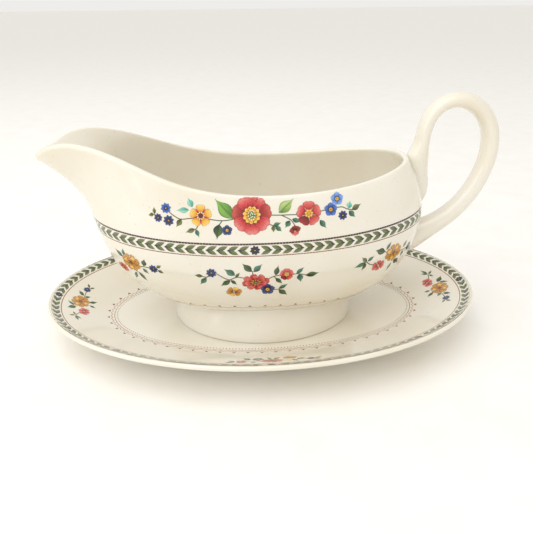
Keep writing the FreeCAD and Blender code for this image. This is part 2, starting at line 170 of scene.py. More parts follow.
ENAMELS = {
    "olive": enamel("enamel_olive", tint(52, 60, 20), tint(104, 116, 44), tint(134, 146, 70),
                    tint(44, 40, 16), tint(40, 44, 16)),
    "laurel": enamel("enamel_laurel", tint(46, 54, 22), tint(100, 112, 58), tint(128, 140, 84),
                     tint(38, 38, 18), tint(70, 80, 38)),
    "dark": enamel("enamel_dark_green", tint(24, 42, 16), tint(48, 84, 34), tint(84, 116, 50),
                   tint(28, 34, 12), tint(20, 34, 14)),
    "teal": enamel("enamel_teal", tint(24, 62, 46), tint(54, 118, 88), tint(96, 152, 112),
                   tint(22, 46, 32), tint(20, 50, 38)),
    "bright": enamel("enamel_bright_green", tint(72, 118, 34), tint(112, 172, 66), tint(146, 196, 82),
                     tint(66, 88, 26), tint(62, 100, 34)),
    "pale": enamel("enamel_pale_green", tint(92, 128, 44), tint(164, 198, 96), tint(206, 222, 150),
                   tint(120, 142, 66), tint(66, 100, 34)),
    "turquoise": enamel("enamel_turquoise", tint(64, 146, 122), tint(116, 204, 178), tint(188, 232, 214),
                        tint(92, 158, 140), tint(56, 128, 108)),
    "crimson": enamel("enamel_crimson", tint(112, 10, 18), tint(222, 58, 62), tint(240, 150, 140),
                      tint(190, 70, 66), strokes=16.0),
    "crimson_deep": enamel("enamel_crimson_deep", tint(84, 6, 12), tint(176, 36, 36), tint(222, 102, 84),
                           tint(150, 44, 40), strokes=16.0),
    "rose_red": enamel("enamel_rose_red", tint(150, 24, 28), tint(214, 78, 70), tint(238, 140, 126),
                       tint(160, 50, 48), strokes=12.0),
    "blood": enamel("enamel_dark_red", tint(84, 6, 10), tint(142, 20, 22), tint(182, 46, 38),
                    tint(80, 10, 12), strokes=12.0),
    "yellow": enamel("enamel_yellow", tint(206, 128, 24), tint(240, 192, 66), tint(252, 222, 120),
                     tint(190, 122, 30), strokes=8.0),
    "ochre": enamel("enamel_ochre", tint(110, 58, 14), tint(198, 132, 36), tint(226, 168, 64),
                    tint(112, 62, 18), strokes=8.0),
    "sky": enamel("enamel_sky_blue", tint(44, 84, 166), tint(112, 158, 228), tint(160, 196, 244),
                  tint(52, 82, 150)),
    "blue": enamel("enamel_blue", tint(20, 34, 96), tint(62, 104, 190), tint(108, 150, 222),
                   tint(24, 40, 96)),
    "deep_blue": enamel("enamel_deep_blue", tint(12, 18, 48), tint(38, 56, 112), tint(74, 100, 164),
                        tint(16, 24, 58)),
    "navy": enamel("enamel_navy", tint(8, 10, 20), tint(24, 32, 56), tint(48, 60, 92), tint(10, 14, 30)),
    "ink": plain_enamel("enamel_ink_brown", INK_BROWN, tint(74, 34, 16)),
    "rust": plain_enamel("enamel_rust", RED_BROWN, tint(124, 62, 38)),
    "tan": plain_enamel("enamel_tan", tint(196, 158, 124), tint(170, 130, 96)),
    "stalk": plain_enamel("enamel_stalk", tint(112, 76, 44), tint(96, 96, 50)),
    "green_stalk": plain_enamel("enamel_green_stalk", tint(86, 108, 70), tint(70, 90, 50)),
    "black": plain_enamel("enamel_black", tint(18, 20, 16), tint(34, 36, 24)),
    "gold": plain_enamel("enamel_gold_dot", tint(228, 184, 70), tint(206, 150, 44)),
    "green_eye": plain_enamel("enamel_green_eye", tint(70, 138, 52), tint(46, 100, 34)),
    "white": plain_enamel("enamel_white_dot", tint(246, 246, 232), tint(236, 236, 214)),
    "dark_eye": plain_enamel("enamel_dark_eye", tint(96, 14, 18), tint(60, 8, 12)),
}

# Flat shapes that every print is made of, each one unit long on +X with its map on it.


def start_clean():
    if bpy.context.object and bpy.context.object.mode != "OBJECT":
        bpy.ops.object.mode_set(mode="OBJECT")
    bpy.ops.object.select_all(action="DESELECT")


def outline_of(shape):
    """The corners, panels and map of a flat shape, which is then cleared away."""
    mesh = shape.data
    corners = [corner.co.copy() for corner in mesh.vertices]
    panels = [list(panel.vertices) for panel in mesh.polygons]
    chart = [tuple(spot.uv) for spot in mesh.uv_layers[0].data]
    bpy.data.objects.remove(shape)
    return corners, panels, chart


def blade(half_widths, notch=0.0, across=4):
    """A leaf or petal: a grid drawn in to these half widths, with a notch in its far end."""
    start_clean()
    steps = len(half_widths) - 1
    bpy.ops.mesh.primitive_grid_add(x_subdivisions=steps, y_subdivisions=across, size=1,
                                    location=(0.5, 0, 0))
    bpy.ops.object.transform_apply(location=True, rotation=False, scale=False)
    shape = bpy.context.object
    for vertex in shape.data.vertices:
        u, v = vertex.co.x, 2 * vertex.co.y
        step = min(int(u * steps), steps - 1)
        share = u * steps - step
        half = half_widths[step] * (1 - share) + half_widths[step + 1] * share
        vertex.co.y = v * half
        vertex.co.x = u - notch * u ** 3 * (1 - abs(v)) - 0.10 * u ** 4 * v * v
    return outline_of(shape)


def disc(corners):
    start_clean()
    bpy.ops.mesh.primitive_circle_add(vertices=corners, radius=1, fill_type="TRIFAN")
    shape = bpy.context.object
    bpy.ops.object.mode_set(mode="EDIT")
    bpy.ops.mesh.select_all(action="SELECT")
    bpy.ops.uv.smart_project()
    bpy.ops.object.mode_set(mode="OBJECT")
    return outline_of(shape)


SHAPES = {
    "leaf": blade((0.02, 0.26, 0.42, 0.50, 0.47, 0.36, 0.20, 0.09, 0.01)),
    "slim": blade((0.08, 0.40, 0.50, 0.42, 0.22, 0.02), across=2),
    "heart": blade((0.12, 0.20, 0.30, 0.41, 0.49, 0.50, 0.42, 0.24), notch=0.13),
    "round": blade((0.14, 0.26, 0.40, 0.49, 0.50, 0.42, 0.20)),
    "narrow": blade((0.16, 0.30, 0.44, 0.50, 0.42, 0.14), across=2),
    "strip": blade((0.5, 0.5), across=1),
    "disc": disc(16),
    "bead": disc(8),
}

LAYERS = (0.030, 0.036, 0.044, 0.052, 0.060, 0.068)      # heights above the glaze, in millimetres


class Print:
    """One transfer: shapes laid in layers against a glazed surface, wrapped on to it and joined."""

    def __init__(self, surface):
        self.surface = surface
        self.layers = {}

    def lay(self, shape, colour, base, along, normal, length, width, layer):
        """Put a shape with its root at base and its length along a direction."""
        along = (along - normal * along.dot(normal)).normalized()
        side = normal.cross(along)
        turn = Matrix((along * length, side * width, normal)).transposed().to_4x4()
        turn.translation = base
        self.layers.setdefault(layer, []).append((shape, colour, turn))

    def wrap(self, name, body):
        """Make each layer, wrap it on to the glaze at its own height, and join the layers."""
        whole = []
        for layer, laid in sorted(self.layers.items()):
            corners, faces, maps, slots, colours = [], [], [], [], []
            for shape, colour, turn in laid:
                first = len(corners)
                outline, panels, chart = SHAPES[shape]
                corners += [turn @ corner for corner in outline]
                faces += [[first + i for i in panel] for panel in panels]
                maps += chart
                if colour not in colours:
                    colours.append(colour)
                slots += [colours.index(colour)] * len(panels)
            mesh = bpy.data.meshes.new(name)
            mesh.from_pydata(corners, [], faces)
            mesh.uv_layers.new(name=PRINT).data.foreach_set("uv", [value for uv in maps for value in uv])
            mesh.polygons.foreach_set("material_index", slots)
            for colour in colours:
                mesh.materials.append(ENAMELS[colour])
            sheet = bpy.data.objects.new(name, mesh)
            bpy.context.scene.collection.objects.link(sheet)
            start_clean()
            sheet.select_set(True)
            bpy.context.view_layer.objects.active = sheet
            cling = sheet.modifiers.new("cling", "SHRINKWRAP")
            cling.target = self.surface
            cling.wrap_method = "NEAREST_SURFACEPOINT"
            cling.wrap_mode = "ABOVE_SURFACE"
            cling.offset = LAYERS[layer] * MM
            bpy.ops.object.modifier_apply(modifier="cling")
            bpy.ops.object.shade_smooth()
            whole.append(sheet)
        start_clean()
        for sheet in whole:
            sheet.select_set(True)
        bpy.context.view_layer.objects.active = whole[0]
        if len(whole) > 1:
            bpy.ops.object.join()
        piece = bpy.context.object
        piece.name = name
        piece.data.name = name
        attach(piece, body)
        return piece


# ---------------------------------------------------------------------------------------------
# Flowers of the prints: a traditional bouquet of open flowers, drawn as rings of petals round an
# eye. Every flower is laid on the glaze at its own place, turned with the surface.
# ---------------------------------------------------------------------------------------------


def ring(sheet, spot, shape, colours, count, inner, outer, width, layer, turn=0.0, wide=1.0):
    """Petals in a ring from inner to outer radius, in millimetres; wide stretches it sideways."""
    centre, right, up, normal = spot
    for i in range(count):
        angle = math.radians(turn) + 2 * math.pi * i / count
        stretch = math.hypot(wide * math.cos(angle), math.sin(angle))
        direction = right * (math.cos(angle) * wide) + up * math.sin(angle)
        direction.normalize()
        sheet.lay(shape, colours[i % len(colours)], centre + direction * inner * stretch * MM, direction,
                  normal, (outer - inner) * stretch * MM, width * MM, layer)


def eye(sheet, spot, colour, radius, layer, shape="disc", tall=1.0, shift=(0, 0)):
    centre, right, up, normal = spot
    place = centre + (right * shift[0] + up * shift[1]) * MM
    sheet.lay(shape, colour, place, right, normal, radius * MM, radius * tall * MM, layer)


def beads(sheet, spot, colour, count, ring_radius, radius, layer, turn=0.0, tall=1.0):
    for i in range(count):
        angle = math.radians(turn) + 2 * math.pi * i / count
        shift = (ring_radius * math.cos(angle), ring_radius * tall * math.sin(angle))
        eye(sheet, spot, colour, radius, layer, "bead", shift=shift)


def cornflower(sheet, spot, r, petals="deep_blue"):
    ring(sheet, spot, "narrow", (petals,), 8, 0.12 * r, r, 0.52 * r, 2, 12)
    eye(sheet, spot, "black", 0.24 * r, 3)
    eye(sheet, spot, "gold", 0.12 * r, 4, "bead")


def blue_cornflower(sheet, spot, r):
    cornflower(sheet, spot, r, "blue")


def band_flower(sheet, spot, r):
    cornflower(sheet, spot, r, "navy")


def forget_me_not(sheet, spot, r, petals="blue"):
    ring(sheet, spot, "round", (petals,), 5, 0.16 * r, r, 0.86 * r, 2, 90)
    eye(sheet, spot, "black", 0.36 * r, 3)
    eye(sheet, spot, "gold", 0.27 * r, 4)
    eye(sheet, spot, "dark_eye", 0.09 * r, 5, "bead")


def sky_forget_me_not(sheet, spot, r):
    forget_me_not(sheet, spot, r, "sky")


def deep_forget_me_not(sheet, spot, r):
    forget_me_not(sheet, spot, r, "deep_blue")


def primrose(sheet, spot, r):
    ring(sheet, spot, "slim", ("crimson",), 5, 0.24 * r, 0.82 * r, 0.16 * r, 1, 54)
    ring(sheet, spot, "heart", ("yellow",), 5, 0.20 * r, r, 0.78 * r, 2, 90)
    beads(sheet, spot, "white", 10, 0.29 * r, 0.045 * r, 4)
    eye(sheet, spot, "dark_eye", 0.21 * r, 3)
    beads(sheet, spot, "blood", 5, 0.10 * r, 0.05 * r, 4, 30)


def great_flower(sheet, spot, r):
    ring(sheet, spot, "heart", ("crimson_deep",), 7, 0.18 * r, 0.94 * r, 0.70 * r, 1, -64)
    ring(sheet, spot, "heart", ("crimson", "crimson_deep", "crimson"), 7, 0.16 * r, r, 0.72 * r, 2, -38)
    ring(sheet, spot, "narrow", ("blood",), 14, 0.22 * r, 0.56 * r, 0.09 * r, 3, 6)
    ring(sheet, spot, "round", ("yellow",), 11, 0.15 * r, 0.42 * r, 0.20 * r, 4, 4)
    eye(sheet, spot, "green_eye", 0.22 * r, 4, tall=1.4)
    beads(sheet, spot, "black", 16, 0.23 * r, 0.022 * r, 5, 0, 1.4)
    beads(sheet, spot, "white", 10, 0.15 * r, 0.030 * r, 5, 10, 1.5)
    beads(sheet, spot, "white", 5, 0.06 * r, 0.030 * r, 5, 30, 1.7)


def rose(sheet, spot, r):
    ring(sheet, spot, "heart", ("rose_red", "rose_red", "crimson", "blood", "rose_red"), 5,
         0.16 * r, r, 0.92 * r, 2, 18)
    ring(sheet, spot, "narrow", ("yellow",), 7, 0.06 * r, 0.34 * r, 0.20 * r, 3, 10)
    eye(sheet, spot, "gold", 0.17 * r, 4)
    beads(sheet, spot, "dark_eye", 6, 0.14 * r, 0.035 * r, 5)


def pink(sheet, spot, r):
    ring(sheet, spot, "heart", ("rose_red",), 6, 0.16 * r, r, 0.80 * r, 2, 30, 1.3)
    ring(sheet, spot, "narrow", ("blood",), 8, 0.08 * r, 0.46 * r, 0.12 * r, 3, 10, 1.3)
    eye(sheet, spot, "gold", 0.17 * r, 4)


def peony(sheet, spot, r):
    ring(sheet, spot, "heart", ("crimson_deep", "rose_red"), 8, 0.22 * r, r, 0.66 * r, 1, 12, 1.4)
    ring(sheet, spot, "heart", ("rose_red",), 7, 0.16 * r, 0.80 * r, 0.58 * r, 2, 40, 1.4)
    ring(sheet, spot, "round", ("blood",), 9, 0.04 * r, 0.50 * r, 0.28 * r, 3, 0, 1.4)
    ring(sheet, spot, "slim", ("yellow",), 9, 0.12 * r, 0.42 * r, 0.06 * r, 4, 18, 1.4)
    beads(sheet, spot, "green_eye", 8, 0.14 * r, 0.045 * r, 5, 0, 0.8)
    beads(sheet, spot, "gold", 9, 0.34 * r, 0.035 * r, 5, 8, 0.9)


def pansy(sheet, spot, r):
    ring(sheet, spot, "heart", ("ochre", "yellow", "ochre"), 6, 0.14 * r, r, 0.78 * r, 2, 10, 1.2)
    eye(sheet, spot, "dark_eye", 0.26 * r, 3, tall=0.8)
    eye(sheet, spot, "white", 0.15 * r, 4, tall=0.8)
    eye(sheet, spot, "rust", 0.08 * r, 5, "bead")


def marigold(sheet, spot, r):
    ring(sheet, spot, "heart", ("ochre",), 8, 0.30 * r, r, 0.58 * r, 1, 20, 1.12)
    ring(sheet, spot, "round", ("ochre", "yellow"), 7, 0.18 * r, 0.74 * r, 0.44 * r, 2, 5, 1.12)
    ring(sheet, spot, "round", ("ochre",), 5, 0.02 * r, 0.46 * r, 0.34 * r, 3, 30, 1.12)
    beads(sheet, spot, "rust", 5, 0.20 * r, 0.05 * r, 4, 60)


def bud(sheet, spot, r):
    ring(sheet, spot, "round", ("rose_red",), 1, -0.20 * r, 1.05 * r, 1.30 * r, 2, -90)
    ring(sheet, spot, "round", ("blood",), 2, -0.25 * r, 1.0 * r, 0.95 * r, 3, 15)
    ring(sheet, spot, "round", ("blood",), 1, -0.20 * r, 0.75 * r, 1.1 * r, 3, 90)
    eye(sheet, spot, "gold", 0.17 * r, 4, shift=(0, -0.30 * r))


FLOWERS = {
    "cornflower": cornflower, "blue_cornflower": blue_cornflower, "band_flower": band_flower,
    "forget_me_not": forget_me_not, "sky_forget_me_not": sky_forget_me_not,
    "deep_forget_me_not": deep_forget_me_not, "primrose": primrose, "great_flower": great_flower,
    "rose": rose, "pink": pink, "peony": peony, "pansy": pansy, "marigold": marigold, "bud": bud,
}


BESIDE = 80                 # a print's place is looked for from this far beside or above the piece
ABOVE = 60
RIM_TRIES = 20              # a place past the rim is brought down by this many steps at most
RIM_STEP = 0.4
STALK_STEPS = 4             # strips to each stretch of a stalk, each reaching a little past its ends
STALK_LAP = 0.12


def bowl_side(side):
    """Finds a place on the bowl's outside from its distance along the boat and its height."""
    def find(x, z):
        if side > 0:
            x = 2 * PRINT_MIDDLE - x
        for lower in range(RIM_TRIES):
            start = Vector((x, BESIDE * side, z - lower * RIM_STEP)) * MM
            hit, place, normal, face = nodes["boat_bowl"].ray_cast(start, Vector((0, -side, 0)))
            if hit and place.y * side > 0 and normal.z < 0.5:
                break
        return place, normal
    return find


def stand_top(side):
    """Finds a place on the stand's top; the far side and the handle's end have the print turned."""
    def find(x, y):
        start = Vector((x * side, y * side, ABOVE)) * MM
        hit, place, normal, face = nodes["stand"].ray_cast(start, Vector((0, 0, -1)))
        return place, normal
    return find


def level_frame(place, normal):
    """Axes for a print on the bowl: along the wall, up the wall and out of it."""
    right = Vector((0, 0, 1)).cross(normal).normalized()
    return place, right, normal.cross(right), normal


def flat_frame(place, normal, heading):
    """Axes for a print on the stand, turned to a heading in the table's plane."""
    right = (heading - normal * heading.dot(normal)).normalized()
    return place, right, normal.cross(right), normal


def print_leaves(sheet, find, leaves):
    for colour, x0, z0, x1, z1, width in leaves:
        root, normal = find(x0, z0)
        tip, tip_normal = find(x1, z1)
        middle = (normal + tip_normal).normalized()
        sheet.lay("leaf", colour, root, tip - root, middle, (tip - root).length, width * MM, 1)


def print_stalks(sheet, find, stalks, width=0.42):
    """Thin stalks: short blades end to end along a smooth line through the given places."""
    for colour, route in stalks:
        places = []
        for i in range(len(route) - 1):
            before = route[max(i - 1, 0)]
            after = route[min(i + 2, len(route) - 1)]
            for k in range(STALK_STEPS):
                share = k / STALK_STEPS
                places.append(smooth_step(before, route[i], route[i + 1], after, share))
        places.append(route[-1])
        for here, there in zip(places, places[1:]):
            root, normal = find(*here)
            tip, tip_normal = find(*there)
            reach = tip - root
            sheet.lay("strip", colour, root - reach * STALK_LAP, reach, normal,
                      reach.length * (1 + 2 * STALK_LAP), width * MM, 0)


def smooth_step(before, start, end, after, share):
    """A point between start and end on a smooth line that also heads past its neighbours."""
    u = share
    weights = (-0.5 * u + u * u - 0.5 * u ** 3, 1 - 2.5 * u * u + 1.5 * u ** 3,
               0.5 * u + 2 * u * u - 1.5 * u ** 3, -0.5 * u * u + 0.5 * u ** 3)
    return tuple(sum(w * p[i] for w, p in zip(weights, (before, start, end, after))) for i in range(2))


# ---------------------------------------------------------------------------------------------
# Boat shoulder print: a garland of a great crimson flower between a primrose and a rose, with blue
# flowers at both ends, printed on each side of the bowl under the rim and fired on.
# ---------------------------------------------------------------------------------------------

PRINT_MIDDLE = -5.0         # the garlands sit this far along the boat, midway between spout and handle

SHOULDER_FLOWERS = (
    ("blue_cornflower", -41.5, 76.2, 2.4),
    ("cornflower", -45.1, 72.0, 2.0),
    ("cornflower", -40.7, 71.1, 2.5),
    ("primrose", -27.1, 73.5, 5.0),
    ("deep_forget_me_not", -16.4, 67.5, 2.3),
    ("great_flower", -6.0, 73.6, 9.0),
    ("rose", 17.9, 73.3, 5.6),
    ("bud", 12.0, 66.9, 2.5),
    ("sky_forget_me_not", 30.0, 78.4, 2.9),
    ("forget_me_not", 27.3, 74.3, 3.0),
    ("cornflower", 32.6, 71.4, 2.2),
)
SHOULDER_LEAVES = (
    ("olive", -46.5, 73.5, -46.6, 76.6, 1.5),
    ("olive", -46.8, 73.4, -49.4, 72.7, 1.6),
    ("turquoise", -31.8, 75.7, -37.4, 75.5, 2.4),
    ("turquoise", -30.4, 76.9, -32.1, 80.9, 2.6),
    ("bright", -13.8, 72.3, -21.1, 80.5, 5.6),
    ("olive", -35.2, 71.9, -37.7, 68.4, 2.4),
    ("olive", -29.7, 67.9, -34.0, 66.3, 2.0),
    ("teal", -29.4, 67.8, -28.2, 64.2, 1.8),
    ("dark", -19.6, 70.0, -20.9, 63.5, 4.2),
    ("pale", 5.3, 74.2, 11.8, 80.6, 4.8),
    ("teal", 2.8, 68.9, 6.3, 70.2, 1.8),
    ("teal", 4.0, 68.6, 6.5, 66.4, 2.0),
    ("olive", 3.0, 69.1, 2.9, 66.0, 1.9),
    ("teal", 9.9, 70.8, 7.8, 67.8, 2.4),
    ("teal", 10.8, 71.4, 14.7, 69.9, 2.0),
    ("teal", 13.0, 74.6, 14.2, 71.9, 2.0),
    ("teal", 22.6, 70.3, 25.5, 66.5, 2.4),
    ("turquoise", 35.1, 74.0, 35.9, 77.1, 2.6),
    ("olive", 36.6, 73.3, 40.9, 75.3, 2.4),
    ("teal", 35.3, 73.0, 38.3, 69.9, 2.4),
)
SHOULDER_STALKS = (
    ("stalk", ((-40.6, 75.0), (-38.3, 73.2), (-35.6, 71.9), (-31.8, 72.3), (-28.0, 72.5))),
    ("green_stalk", ((-24.0, 72.2), (-20.2, 71.6), (-16.5, 71.6), (-12.0, 72.4))),
    ("green_stalk", ((-18.2, 71.5), (-19.6, 69.8))),
    ("stalk", ((-45.5, 72.4), (-46.7, 73.5))),
    ("stalk", ((-35.0, 72.1), (-35.5, 71.4))),
    ("stalk", ((-28.4, 69.4), (-29.3, 68.0), (-30.2, 67.7))),
    ("green_stalk", ((1.5, 73.4), (6.4, 73.2), (9.5, 73.2), (14.2, 73.1))),
    ("stalk", ((6.5, 73.1), (9.8, 71.4), (11.2, 69.9), (12.0, 68.4))),
    ("stalk", ((0.4, 70.2), (2.5, 69.1), (4.4, 68.5))),
    ("green_stalk", ((22.4, 73.8), (25.6, 74.4))),
    ("green_stalk", ((29.4, 74.8), (32.2, 74.9), (34.4, 73.9), (37.0, 73.2))),
)


def print_on_bowl(name, side, flowers, leaves, stalks):
    sheet = Print(nodes["boat_bowl"])
    find = bowl_side(side)
    print_stalks(sheet, find, stalks)
    print_leaves(sheet, find, leaves)
    for kind, x, z, radius in flowers:
        FLOWERS[kind](sheet, level_frame(*find(x, z)), radius)
    return sheet.wrap(name, "boat")


for word, side in (("front", -1), ("back", 1)):
    print_on_bowl("boat_shoulder_print_" + word, side, SHOULDER_FLOWERS, SHOULDER_LEAVES, SHOULDER_STALKS)

# ---------------------------------------------------------------------------------------------
# Boat lower prints: three small sprays on each side below the laurel band. The middle one has a wide
# red flower, and the ones towards the spout and the handle have a double ochre flower.
# ---------------------------------------------------------------------------------------------

LOWER_FLOWERS = (
    ("cornflower", -24.1, 47.6, 2.5),
    ("peony", -4.9, 42.6, 4.7),
    ("pansy", -14.6, 37.3, 3.2),
    ("deep_forget_me_not", 0.3, 38.4, 3.3),
    ("rose", 8.6, 46.2, 3.3),
)
LOWER_LEAVES = (
    ("olive", -27.9, 45.8, -31.8, 46.2, 1.8),
    ("teal", -26.4, 45.0, -29.4, 41.1, 2.4),
    ("teal", -13.9, 46.5, -18.7, 49.8, 3.1),
    ("dark", -16.0, 43.8, -20.5, 40.6, 2.5),
    ("dark", -15.8, 44.0, -13.0, 41.3, 1.7),
    ("olive", -13.8, 45.4, -11.6, 48.1, 1.4),
    ("dark", -6.6, 48.2, -10.8, 52.6, 3.0),
    ("teal", -5.8, 48.1, -1.9, 52.0, 2.6),
    ("dark", 3.7, 46.0, 5.0, 51.1, 2.4),
    ("dark", 3.8, 44.5, 6.9, 41.2, 2.1),
    ("teal", 12.8, 46.2, 16.4, 49.5, 1.9),
    ("teal", 14.2, 46.1, 15.0, 41.4, 2.8),
    ("dark", 17.0, 45.0, 23.3, 45.9, 2.6),
    ("teal", 5.2, 38.5, 9.4, 41.1, 2.0),
    ("dark", 5.2, 38.0, 9.3, 34.3, 2.8),
)
LOWER_STALKS = (
    ("stalk", ((-28.3, 45.8), (-26.4, 45.3), (-25.2, 46.4))),
    ("stalk", ((-22.6, 47.8), (-18.4, 44.9), (-16.1, 44.2), (-13.0, 45.5), (-8.6, 44.6))),
    ("stalk", ((-0.4, 43.6), (2.9, 45.4), (6.4, 46.0))),
    ("stalk", ((11.0, 46.0), (13.9, 46.1), (17.6, 45.1))),
    ("stalk", ((2.4, 38.0), (5.6, 38.2))),
    ("stalk", ((2.9, 45.4), (4.1, 44.2))),
    ("stalk", ((-6.2, 46.6), (-6.2, 48.6))),
)

SPOUT_END_FLOWERS = (
    ("marigold", -60.4, 48.4, 5.0),
    ("pink", -65.2, 43.8, 2.9),
    ("cornflower", -49.9, 47.3, 2.3),
)
SPOUT_END_LEAVES = (
    ("dark", -64.2, 50.4, -67.7, 53.6, 2.4),
    ("teal", -63.6, 51.2, -63.4, 55.2, 2.0),
    ("dark", -54.4, 48.0, -53.5, 51.9, 2.7),
    ("teal", -55.0, 46.4, -52.2, 43.8, 1.9),
    ("teal", -58.6, 43.4, -59.5, 38.6, 1.9),
    ("dark", -57.4, 43.9, -53.6, 38.7, 2.2),
    ("olive", -48.4, 48.2, -45.8, 49.8, 1.6),
    ("olive", -47.9, 46.9, -45.0, 45.6, 1.6),
)
SPOUT_END_STALKS = (
    ("stalk", ((-58.7, 45.4), (-55.3, 47.4), (-51.4, 47.5))),
    ("stalk", ((-49.0, 47.4), (-47.6, 47.2))),
    ("stalk", ((-58.9, 44.6), (-57.6, 43.4))),
    ("stalk", ((-63.2, 49.8), (-64.4, 50.8))),
)

HANDLE_END_FLOWERS = (
    ("marigold", 58.8, 49.2, 4.9),
    ("pink", 51.4, 44.2, 3.1),
    ("cornflower", 67.9, 48.9, 2.3),
)
HANDLE_END_LEAVES = (
    ("dark", 54.0, 50.9, 48.8, 53.0, 3.4),
    ("teal", 54.6, 51.9, 57.0, 55.8, 1.7),
    ("olive", 64.2, 50.0, 66.4, 53.6, 1.8),
    ("teal", 64.4, 48.0, 64.0, 44.6, 2.0),
    ("dark", 59.8, 44.9, 63.0, 41.4, 3.0),
    ("teal", 58.6, 43.2, 56.4, 38.6, 1.7),
    ("olive", 45.2, 47.8, 42.4, 50.9, 2.0),
    ("teal", 45.5, 48.0, 48.9, 50.4, 1.8),
    ("teal", 44.9, 47.6, 38.8, 45.6, 2.1),
    ("olive", 45.0, 47.1, 42.8, 43.3, 1.8),
)
HANDLE_END_STALKS = (
    ("stalk", ((45.1, 47.8), (46.8, 46.2), (49.2, 45.3))),
    ("stalk", ((53.6, 51.4), (55.0, 50.4))),
    ("stalk", ((62.4, 48.8), (64.4, 48.6), (66.4, 48.8))),
    ("stalk", ((58.4, 45.4), (59.2, 44.0))),
)

for word, side in (("front", -1), ("back", 1)):
    print_on_bowl("boat_lower_print_middle_" + word, side, LOWER_FLOWERS, LOWER_LEAVES, LOWER_STALKS)
    print_on_bowl("boat_lower_print_spout_end_" + word, side, SPOUT_END_FLOWERS, SPOUT_END_LEAVES,
                  SPOUT_END_STALKS)
    print_on_bowl("boat_lower_print_handle_end_" + word, side, HANDLE_END_FLOWERS, HANDLE_END_LEAVES,
                  HANDLE_END_STALKS)

# ---------------------------------------------------------------------------------------------
# Laurel bands: paired leaves between a dark brown line and a thin red-brown one, printed round the
# boat's belly and the stand's border. A small navy flower marks every change of direction.
# ---------------------------------------------------------------------------------------------


LINE_STEP = 1.3             # length of each strip in a line that runs right round, in millimetres
LINE_LAP = 1.04             # how far it reaches past its end, as a share of its length
DARK_LINE = {"boat": 0.82, "stand": 0.85}
THIN_LINE = 0.42
LEAF_WIDTH = 1.95
WEDGE_LENGTH = 1.9          # the dark wedge where two leaves meet
WEDGE_WIDTH = 0.8
WEDGE_LEAD = 0.5            # it starts this far in front of the leaves
ROOT_SHARE = 0.28           # shares of a pair's reach and half width that place its roots and tips
TIP_SHARE = 1.12
SPREAD_SHARE = 0.98


class Round:
    """A level or rising oval round the middle of the piece, measured by its own length."""

    STEPS = 720

    def __init__(self, point, start):
        """point gives a place for an angle; the length is counted from the angle start."""
        angles = [start + 2 * math.pi * i / self.STEPS for i in range(self.STEPS + 1)]
        self.places = [point(angle) for angle in angles]
        self.lengths = [0.0]
        for here, there in zip(self.places, self.places[1:]):
            self.lengths.append(self.lengths[-1] + (there - here).length)
        self.whole = self.lengths[-1]

    def at(self, length):
        """The place at a length round the oval, and the direction there."""
        length %= self.whole
        low, high = 0, self.STEPS
        while high - low > 1:
            middle = (low + high) // 2
            if self.lengths[middle] <= length:
                low = middle
            else:
                high = middle
        here, there = self.places[low], self.places[high]
        share = (length - self.lengths[low]) / (self.lengths[high] - self.lengths[low])
        return here.lerp(there, share), (there - here).normalized()


def line_round(sheet, track, colour, width, surface_normal, step=LINE_STEP):
    """A printed line right round, as one closed row of short strips."""
    count = math.ceil(track.whole / MM / step)
    for i in range(count):
        here, direction = track.at(track.whole * i / count)
        there, direction = track.at(track.whole * (i + 1) / count)
        reach = there - here
        sheet.lay("strip", colour, here, reach, surface_normal(here), reach.length * LINE_LAP,
                  width * MM, 0)


def laurel_pair(sheet, place, direction, normal, reach, half_band):
    """Two leaves and the small dark wedge where they meet, pointing along a direction."""
    side = normal.cross(direction)
    root = place + direction * ROOT_SHARE * reach * MM
    for sign in (-1, 1):
        tip = root - direction * reach * TIP_SHARE * MM + side * sign * half_band * SPREAD_SHARE * MM
        sheet.lay("slim", "laurel", root, tip - root, normal, (tip - root).length, LEAF_WIDTH * MM, 1)
    sheet.lay("slim", "black", root + direction * WEDGE_LEAD * MM, -direction, normal,
              WEDGE_LENGTH * MM, WEDGE_WIDTH * MM, 2)


def laurel_run(sheet, track, start, end, pairs, surface_normal, reach, half_band, forward):
    """Evenly spaced pairs between two lengths, pointing forward or back along the oval."""
    for i in range(pairs):
        length = start + (end - start) * (i + 0.5) / pairs
        place, direction = track.at(length)
        heading = direction if forward else -direction
        laurel_pair(sheet, place, heading, surface_normal(place), reach, half_band)


def surface_finder(surface):
    """Gives the outward direction of the glaze nearest to a place."""
    def normal_at(place):
        found, spot, normal, face = surface.closest_point_on_mesh(place)
        return normal
    return normal_at


BOAT_BAND_TOP = 61.3        # heights at the middle of the side, in millimetres
BOAT_BAND_FOOT = 55.8
BAND_RISE = 3.9             # how much higher the band runs at the two ends
BAND_TILT = 0.6             # and how much higher at the handle than at the middle
BOAT_REACH = 79.6
BOAT_PITCH = 4.45           # from one pair of leaves to the next
BOAT_LEAF_REACH = 4.3
BOAT_HALF_BAND = 2.15
BOAT_FLOWER = 2.3
LEAVES_DROP = 0.05          # the leaves sit this far under the middle of the two lines
SETTLE_ROUNDS = 4           # times the height is worked out again from the place it gave
OUTSIDE = 0.16              # metres from the middle, clear of the boat all round


def bowl_round(height, rise, tilt, reach):
    """The oval where the bowl's outside meets a line of this height that bends towards both ends."""
    def point(angle):
        direction = Vector((math.cos(angle), math.sin(angle), 0))
        z = height
        for settle in range(SETTLE_ROUNDS):
            start = Vector((0, 0, z * MM)) + direction * OUTSIDE
            hit, place, normal, face = nodes["boat_bowl"].ray_cast(start, -direction)
            share = place.x / MM / reach
            z = height + tilt * share + rise * share * share
        return place
    return point


def boat_band(height):
    return Round(bowl_round(height, BAND_RISE, BAND_TILT, BOAT_REACH), front_middle)


